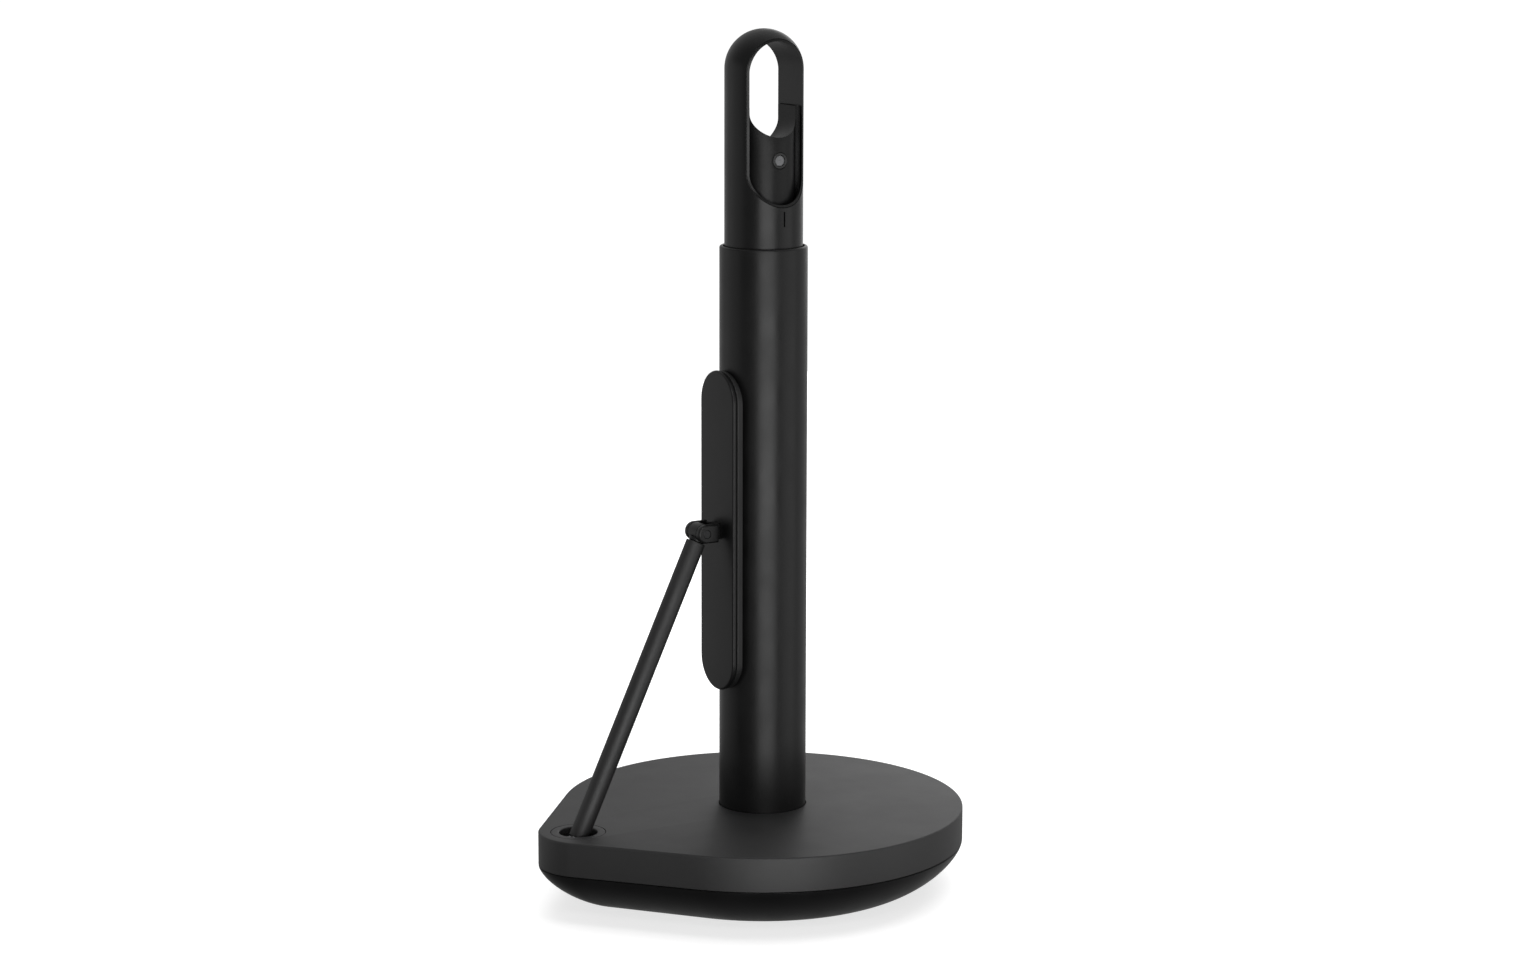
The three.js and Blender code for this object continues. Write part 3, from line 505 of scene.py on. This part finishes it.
def make_clevis():
    radius, half, lug, end, edge = (CLEVIS[k] for k in ("radius", "half", "lug", "lug_end", "edge"))
    bore, inner_edge = CLEVIS["pin"] + PIN_FIT, CLEVIS["inner_edge"]
    sheet = Sheet()

    def outline(inset, y):
        r = radius - inset
        nose = [(x, y, z) for x, z in arc((0, 0), r, -QUARTER, -3 * QUARTER, 40)]
        return nose + [(end - inset, y, r), (end - inset, y, -r)]

    for sign in (-1, 1):
        outer, inner = sign * half, sign * (half - lug)
        turns = [QUARTER * i / 6 for i in range(7)]
        levels = [(edge * (1 - math.sin(a)), outer - sign * edge * (1 - math.cos(a))) for a in turns]
        levels += [(inner_edge * (1 - math.cos(a)), inner + sign * inner_edge * (1 - math.sin(a)))
                   for a in turns]
        rows = [outline(inset, y) for inset, y in levels]
        hole = [[(bore * math.cos(2 * math.pi * i / 48), y, bore * math.sin(2 * math.pi * i / 48))
                 for i in range(48)] for y in (outer, inner)]
        sheet.grid(rows, closed=True).cap(rows[0], hole[0]).cap(rows[-1], hole[1]).grid(hole, closed=True)
    rise, corner, bridge = STEM["rise"], STEM["corner"], STEM["bridge_length"]
    for wide, low_x, high_x in ((STEM["bridge"], end - bridge, end - STEM["lug_inset"]),
                                (STEM["half"], end - bridge / 2, PAD["outer"] - STEM["plate_gap"])):
        corners = [(-wide, -rise), (wide, -rise), (wide, rise), (-wide, rise)]
        section = filleted([(y, z, corner) for y, z in corners], closed=True)
        rows = [[(x, y, z) for y, z in section] for x in (low_x, high_x)]
        sheet.grid(rows, closed=True).cap(rows[0]).cap(rows[1])
    sheet.moved(PAD_PLACE)
    piece("pad_bracket", sheet, "pad_clevis", LOOKS["painted_black"])

    reach = half - CLEVIS["inset"]
    pin = filleted([(0, -reach, 0), (CLEVIS["pin"], -reach, 0.2), (CLEVIS["pin"], reach, 0.2), (0, reach, 0)])
    sheet = revolved(pin, 64).moved(PAD_PLACE @ CROSSWISE)
    piece("pad_pin", sheet, "clevis_pin", LOOKS["dark_steel"])


# ---- Pump head -----------------------------------------------------------------------------------


def window_stations():
    """x, z and outward normal up the right half of the window's outline, from its foot to its crown."""
    half = WINDOW["half"]
    low, high = WINDOW["low"] + half, WINDOW["high"] - half
    found = []
    for i in range(29):
        a = QUARTER * (1 - i / 28)
        found.append((half * math.cos(a), low - half * math.sin(a), math.cos(a), -math.sin(a)))
    for z in [low + (HANDLE["solid"] - low) * i / 10 for i in range(1, 11)]:
        found.append((half, z, 1.0, 0.0))
    for z in [HANDLE["solid"] + (high - HANDLE["solid"]) * i / 6 for i in range(1, 7)]:
        found.append((half, z, 1.0, 0.0))
    for i in range(1, 29):
        a = QUARTER * i / 28
        found.append((half * math.cos(a), high + half * math.sin(a), math.cos(a), math.sin(a)))
    return found


def make_handle():
    radius, well, dome, solid = (HANDLE[k] for k in ("radius", "well", "dome", "solid"))
    radius -= SHRINK
    stations = window_stations()
    rim, drop = WINDOW["rim"], WINDOW["drop"]
    slot_turn = math.asin(MARK["half"] / radius)
    first, steps = 0.04, 30
    fractions = [0, slot_turn / QUARTER] + [first + (1 - first) * i / steps for i in range(steps + 1)]

    def depth(x, z, r=radius):
        return math.sqrt(max(r * r - x * x - max(0, z - dome) ** 2, 0))

    def outer_row(x, z):
        """From the window's rim round to the side of the shell."""
        base = dome if z > dome else z
        reach = math.hypot(x, z - base)
        direction = (x / reach, (z - base) / reach) if reach > 1e-6 else (1.0, 0.0)
        start = math.asin(min(reach / radius, 1))
        row = []
        for f in fractions:
            a = start + (QUARTER - start) * f
            r = radius * math.sin(a)
            row.append((direction[0] * r, -radius * math.cos(a), base + direction[1] * r))
        return row

    def quarter(marked):
        sheet = Sheet()
        sheet.grid([outer_row(x + rim * nx, z + rim * nz) for x, z, nx, nz in stations])
        foot = WINDOW["low"] - rim
        heights = [foot, MARK["high"], MARK["low"], HANDLE["below_mark"], POST["top"], HANDLE["shoulder"]]
        rows = [outer_row(0.0, z) for z in heights]
        if marked:
            sheet.grid(rows[:2]).grid(rows[2:])
            sheet.grid([row[1:] for row in rows[1:3]])
            deep = [[(p[0], p[1] + MARK["depth"], p[2]) for p in row[:2]] for row in rows[1:3]]
            sheet.grid(deep)
            sheet.grid([[rows[1][1], rows[2][1]], [deep[0][1], deep[1][1]]])
            for k in (0, 1):
                sheet.grid([rows[1 + k][:2], deep[k]])
        else:
            sheet.grid(rows)
        edge_rows = []
        for x, z, nx, nz in stations:
            far = Vector((x + rim * nx, -depth(x + rim * nx, z + rim * nz), z + rim * nz))
            near = Vector((x, drop - depth(x, z), z))
            # A fine groove runs round the rim's outer edge.
            slide = WINDOW["groove"] / rim
            sunk = Vector((0, WINDOW["groove"] * 1.2, 0))
            groove = [far.lerp(near, 0.1 * slide) + sunk, far.lerp(near, 0.9 * slide) + sunk]
            row = [far] + groove + [far.lerp(near, slide), far.lerp(near, 0.6), near]
            edge_rows.append([tuple(point) for point in row])
        sheet.grid(edge_rows)
        lower = [i for i, s in enumerate(stations) if s[1] <= solid + 1e-6]
        bore = math.sqrt(well * well - WINDOW["half"] ** 2)
        low_rows, high_rows, well_rows = [], [], []
        for i, (x, z, _, _) in enumerate(stations):
            start = edge_rows[i][-1][1]
            if i in lower:
                end = -depth(x, 0, well)
                low_rows.append([(x, start + (end - start) * k / 3, z) for k in range(4)])
                begin = math.asin(x / well)
                turns_in = [begin + (QUARTER - begin) * f for f in fractions]
                well_rows.append([(well * math.sin(a), -well * math.cos(a), z) for a in turns_in])
            if i == lower[-1]:
                ledge = [(px, py) for px, py, _ in well_rows[-1]]
            if i >= lower[-1]:
                ys = [start + (-bore - start) * k / 3 for k in range(3)] + [py for _, py in ledge]
                high_rows.append([(x, y, z) for y in ys])
        sheet.grid(low_rows).grid(high_rows)
        floor = [(well * math.sin(QUARTER * f), -well * math.cos(QUARTER * f)) for f in fractions]
        sheet.grid([[(x, y, z) for x, y in floor] for z in (HANDLE["low"], WINDOW["low"])] + well_rows)
        sheet.grid([[(WINDOW["half"], y, solid) for _, y in ledge], [(x, y, solid) for x, y in ledge]])
        collar = [(radius, HANDLE["shoulder"]), (HANDLE["spigot"], HANDLE["shoulder"]),
                  (HANDLE["spigot"], HANDLE["low"]), (well, HANDLE["low"])]
        sheet.grid([[(r * math.sin(QUARTER * f), -r * math.cos(QUARTER * f), z) for f in fractions]
                    for r, z in collar])
        return sheet

    front, back = quarter(True), quarter(False)
    back.points = [Vector((p.x, -p.y, p.z)) for p in back.points]
    sheet = front.added(back).mirrored(0)
    piece("handle", sheet, "handle_shell", LOOKS["handle"], sharp=20)


def make_button():
    radius, low, high, trough = (BUTTON[k] for k in ("radius", "low", "high", "trough"))
    slope = math.tan(BUTTON["tilt"])
    widen = 1 / math.cos(BUTTON["tilt"])

    def axis(y):
        return BUTTON["trough_z"] + slope * y

    spans = [i / 16 for i in range(-16, 17)]
    top_rows = []
    for i in range(19):
        a = QUARTER * i / 18
        x = trough * math.sin(a)
        edge = math.sqrt(radius * radius - x * x)
        top_rows.append([(x, v * edge, axis(v * edge) - trough * math.cos(a) * widen) for v in spans])
    side = math.sqrt(radius * radius - trough * trough)
    for k in (0.5, 1.0):
        top_rows.append([(trough, v * side, axis(v * side) * (1 - k) + high * k) for v in spans])
    start = math.asin(trough / radius)
    for k in range(1, 7):
        x = radius * math.sin(start + (QUARTER - start) * k / 6)
        edge = math.sqrt(max(radius * radius - x * x, 0))
        top_rows.append([(x, v * edge, high) for v in spans])
    sheet = Sheet().grid(top_rows)

    # The front wall has a round pocket for the nozzle: rays lead from its edge to a patch of the wall.
    rim, back_rim = [row[0] for row in top_rows], [row[-1] for row in top_rows]
    mid_z, corner = NOZZLE["z"], 6
    reach = rim[corner][0]
    heights = [mid_z + reach * (1 - i / 5) for i in range(11)]

    def level(points, z):
        return [(x, y, z) for x, y, _ in points]

    head, foot = level(rim[:corner + 1], heights[0]), level(rim[:corner + 1], heights[-1])
    sheet.grid([rim[:corner + 1], head]).grid([foot, level(foot, low)])
    for edge in (rim[corner:], back_rim):
        sheet.grid([edge] + [level(edge, z) for z in heights + [low]])
    border = head + [(*rim[corner][:2], z) for z in heights[1:-1]] + foot[::-1]
    rays = []
    for x, _, z in border:
        shrink = 1 - (NOZZLE["bezel"] + PIN_FIT) / math.hypot(x, z - mid_z)
        scales = [1 - shrink * k / 3 for k in range(4)]
        flat = [(x * scale, mid_z + (z - mid_z) * scale) for scale in scales]
        ray = [(x, -math.sqrt(radius * radius - x * x), z) for x, z in flat]
        rays.append(ray + [(ray[-1][0], NOZZLE["depth"] - radius + NOZZLE["behind"], ray[-1][2])])
    sheet.grid(rays).cap([ray[-1] for ray in rays])
    section = [(x, y, low) for x, y, _ in [row[0] for row in top_rows]]
    section += [(x, y, low) for x, y, _ in [row[-1] for row in top_rows][::-1]]
    unique = [p for i, p in enumerate(section) if (Vector(p) - Vector(section[i - 1])).length > 1e-6]
    sheet.cap(unique)
    sheet.mirrored(0)
    piece("press_button", sheet, "pump_button", LOOKS["button"], bevel=0.3)


def make_nozzle():
    front, back = BUTTON["radius"] - SHRINK, BUTTON["radius"] - NOZZLE["depth"]
    place = Matrix.Translation((0, 0, NOZZLE["z"])) @ CROSSWISE
    disc, ring, hole = NOZZLE["insert"], NOZZLE["bezel"], NOZZLE["hole"]
    inner = disc + NOZZLE["fit"]
    corners = [(inner, front, 0.25), (ring, front, 0.45), (ring, back, 0), (inner, back, 0)]
    sheet = revolved(filleted(corners, closed=True), 72, closed=True).moved(place)
    piece("nozzle_ring", sheet, "nozzle_bezel", LOOKS["matte_black"])
    face = front - GAP
    hole_end = face - NOZZLE["hole_depth"]
    corners = [(0, hole_end, 0), (hole, hole_end, 0), (hole, face, 0.05), (disc, face, 0.25), (disc, back, 0),
               (0, back, 0)]
    sheet = revolved(filleted(corners), 72).moved(place)
    piece("nozzle_disc", sheet, "nozzle_insert", LOOKS["grey_plastic"])


def make_bottle():
    low, floor, top, radius, inner, heel, shoulder, neck, neck_low, mouth = BOTTLE.values()
    corners = [
        (0, low, 0), (heel, low, 0), (radius, low + radius - heel, 2.2), (radius, shoulder, 4),
        (neck, neck_low, 1.5), (neck, top, 0.4), (mouth, top, 0.4), (mouth, neck_low, 1.5),
        (inner, shoulder - 1, 4), (inner, floor, 1.5), (0, floor, 0),
    ]
    sheet = revolved(filleted(corners), 128)
    piece("bottle", sheet, "spray_bottle", LOOKS["frosted_plastic"])
    low, top, radius, bore = TUBE.values()
    corners = [(radius, low, 0.2), (radius, top, 0.2), (bore, top, 0), (bore, low, 0)]
    sheet = revolved(filleted(corners, closed=True), 48, closed=True)
    piece("pickup_tube", sheet, "dip_tube", LOOKS["frosted_plastic"])


def make_collar():
    low, top, radius, bore, roof, mouth, ridges, depth = COLLAR.values()
    corners = [(radius, low, 0.3), (radius, top, 0.6), (mouth, top, 0), (mouth, roof, 0), (bore, roof, 0),
               (bore, low, 0)]
    sheet = revolved(filleted(corners, closed=True), 120, closed=True)
    for i, p in enumerate(sheet.points):
        turn = math.atan2(p.y, p.x)
        if math.hypot(p.x, p.y) > radius - 0.05 and low + 0.5 < p.z < top - 0.5:
            scale = 1 - depth * (0.5 + 0.5 * math.cos(ridges * turn))
            sheet.points[i] = Vector((p.x * scale, p.y * scale, p.z))
    piece("bottle_cap", sheet, "pump_collar", LOOKS["matte_black"])


def make_spring():
    box_low, box_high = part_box("return_spring")
    radius, wire, turns, steps = SPRING.values()
    low, high = box_low.z / MM + wire, box_high.z / MM - wire
    rows = []
    for i in range(steps + 1):
        a = 2 * math.pi * turns * i / steps
        centre = Vector((radius * math.cos(a), radius * math.sin(a), low + (high - low) * i / steps))
        outward = Vector((math.cos(a), math.sin(a), 0))
        rows.append([centre + outward * wire * math.cos(t) + Vector((0, 0, wire * math.sin(t)))
                     for t in [2 * math.pi * k / 12 for k in range(12)]])
    sheet = Sheet().grid(rows, closed=True).cap(rows[0]).cap(rows[-1])
    coil = piece("coil", sheet, "return_spring", LOOKS["steel"])
    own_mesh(coil)


make_cover()
make_bowl()
make_foot()
make_hole_ring()
make_post()
make_arm()
make_pad()
make_clevis()
make_handle()
make_button()
make_nozzle()
make_bottle()
make_collar()
make_spring()

# CAD nodes that stay as they are get a look by the first of these words in their name.
CAD_LOOKS = {
    "screw": "steel", "spring": "steel", "pin": "steel", "ball": "steel", "bracket": "steel",
    "arm_foot": "steel", "ballast": "cast_iron", "socket": "cast_iron", "gasket": "rubber",
    "barrel": "frosted_plastic", "piston": "frosted_plastic",
}
for name, node in frame["nodes"].items():
    if not node.hide_render:
        look = next((look for word, look in CAD_LOOKS.items() if word in name), "matte_black")
        node.data.materials.clear()
        node.data.materials.append(LOOKS[look])

# ---- Studio --------------------------------------------------------------------------------------

scene = bpy.context.scene
scene.view_settings.view_transform = "Standard"
scene.view_settings.look = "None"

VIEW_TURN = math.radians(-31.47)  # the camera's direction, from +Y
CAMERA = dict(place=(-0.7494, -1.2227, 0.4321), drop=10.321, roll=0.122, lens=84.0, sensor=36.0, near=0.05,
              far=30)
WHITE = (1, 1, 1, 1)


def make_floor():
    size, steps = 2.4, 24
    sheet = Sheet()
    line = [(-size / 2 + size * i / steps) / MM for i in range(steps + 1)]
    sheet.grid([[(x, y, 0) for x in line] for y in line])
    mesh = bpy.data.meshes.new("floor")
    mesh.from_pydata([p * MM for p in sheet.points], [], sheet.faces)
    floor = bpy.data.objects.new("floor", mesh)
    scene.collection.objects.link(floor)
    look = bpy.data.materials.new("floor")
    look.use_nodes = True
    shader = look.node_tree.nodes["Principled BSDF"]
    shader.inputs["Roughness"].default_value = 0.6
    shader.inputs["Specular IOR Level"].default_value = 0.1
    shader.inputs["Emission Color"].default_value = WHITE
    shader.inputs["Base Color"].default_value = (0.46, 0.46, 0.46, 1)
    nodes, links = look.node_tree.nodes, look.node_tree.links
    # The floor's glow is weaker within about 0.45 m of its middle: a painted shadow round the object's base.
    spot = nodes.new("ShaderNodeTexCoord")
    far = nodes.new("ShaderNodeVectorMath")
    far.operation = "LENGTH"
    links.new(spot.outputs["Object"], far.inputs[0])
    glow_with_painted_shadow = nodes.new("ShaderNodeMapRange")
    glow_with_painted_shadow.interpolation_type = "SMOOTHSTEP"
    for key, value in (("From Min", 0.12), ("From Max", 0.45), ("To Min", 0.725), ("To Max", 1.0)):
        glow_with_painted_shadow.inputs[key].default_value = value
    links.new(far.outputs["Value"], glow_with_painted_shadow.inputs["Value"])
    links.new(glow_with_painted_shadow.outputs["Result"], shader.inputs["Emission Strength"])
    mesh.materials.append(look)
    floor.visible_glossy = floor.visible_diffuse = floor.visible_shadow = False


def softbox(name, place, target, width, height, power, glossy=True):
    light = bpy.data.lights.new(name, "AREA")
    light.shape = "RECTANGLE"
    light.size, light.size_y, light.energy = width, height, power
    made = bpy.data.objects.new(name, light)
    made.location = place
    made.rotation_euler = (Vector(target) - Vector(place)).to_track_quat("-Z", "Y").to_euler()
    made.visible_camera = False
    made.visible_glossy = glossy
    scene.collection.objects.link(made)


def round_place(turn_deg, distance, height):
    """A place at an angle to the right of the camera's side of the object."""
    a = VIEW_TURN - QUARTER + math.radians(turn_deg)
    return (distance * math.cos(a), distance * math.sin(a), height)


make_floor()
middle = (0, 0, 0.17)
softbox("front_box", round_place(10.5, 1.9, -0.05), middle, 1.5, 1.3, 13)
softbox("high_box", round_place(8, 1.7, 1.5), middle, 1.4, 0.4, 6)
softbox("left_box", round_place(-90, 1.5, 0.1), middle, 1.5, 1.0, 1.15)
softbox("right_box", round_place(70, 1.7, -0.05), middle, 1.3, 1.3, 3.0)
softbox("back_box", round_place(160, 1.3, 0.5), middle, 0.9, 0.8, 1.65)
softbox("top_box", (0.5, 0.3, 2.1), (0, 0, 0), 2.4, 2.4, 56, glossy=False)


def make_world():
    """Light from all round, brighter from behind and dimmer from below, and plain white for the camera."""
    world = bpy.data.worlds.new("studio")
    scene.world = world
    world.use_nodes = True
    nodes, links = world.node_tree.nodes, world.node_tree.links
    nodes.clear()
    place = nodes.new("ShaderNodeTexCoord")
    along = nodes.new("ShaderNodeVectorMath")
    along.operation = "DOT_PRODUCT"
    along.inputs[1].default_value = (math.sin(-VIEW_TURN) + 0.3 * math.cos(VIEW_TURN),
                                     math.cos(VIEW_TURN) + 0.3 * math.sin(VIEW_TURN), 0.25)
    links.new(place.outputs["Generated"], along.inputs[0])
    ramp = nodes.new("ShaderNodeMapRange")
    ramp.interpolation_type = "SMOOTHSTEP"
    for key, value in (("From Min", -0.5), ("From Max", 0.9), ("To Min", 0.15), ("To Max", 0.42)):
        ramp.inputs[key].default_value = value
    links.new(along.outputs["Value"], ramp.inputs["Value"])
    around = nodes.new("ShaderNodeBackground")
    around.inputs["Color"].default_value = WHITE
    lower = nodes.new("ShaderNodeSeparateXYZ")
    links.new(place.outputs["Generated"], lower.inputs[0])
    dim = nodes.new("ShaderNodeMapRange")
    for key, value in (("From Min", -0.7), ("From Max", -0.25), ("To Min", 0.42), ("To Max", 1.0)):
        dim.inputs[key].default_value = value
    links.new(lower.outputs["Z"], dim.inputs["Value"])
    strength = nodes.new("ShaderNodeMath")
    strength.operation = "MULTIPLY"
    links.new(ramp.outputs["Result"], strength.inputs[0])
    links.new(dim.outputs["Result"], strength.inputs[1])
    links.new(strength.outputs[0], around.inputs["Strength"])
    seen = nodes.new("ShaderNodeBackground")
    seen.inputs["Color"].default_value = WHITE
    seen.inputs["Strength"].default_value = 1.05
    path = nodes.new("ShaderNodeLightPath")
    pick = nodes.new("ShaderNodeMixShader")
    links.new(path.outputs["Is Camera Ray"], pick.inputs[0])
    links.new(around.outputs[0], pick.inputs[1])
    links.new(seen.outputs[0], pick.inputs[2])
    out = nodes.new("ShaderNodeOutputWorld")
    links.new(pick.outputs[0], out.inputs["Surface"])


def make_camera():
    camera_data = bpy.data.cameras.new("camera")
    camera_data.lens, camera_data.sensor_width = CAMERA["lens"], CAMERA["sensor"]
    camera_data.clip_start, camera_data.clip_end = CAMERA["near"], CAMERA["far"]
    camera = bpy.data.objects.new("camera", camera_data)
    camera.location = CAMERA["place"]
    tip, roll = math.radians(90 - CAMERA["drop"]), math.radians(CAMERA["roll"])
    camera.rotation_euler = (Matrix.Rotation(VIEW_TURN, 3, "Z") @ Matrix.Rotation(tip, 3, "X")
                             @ Matrix.Rotation(roll, 3, "Z")).to_euler()
    scene.collection.objects.link(camera)
    scene.camera = camera


make_world()
make_camera()
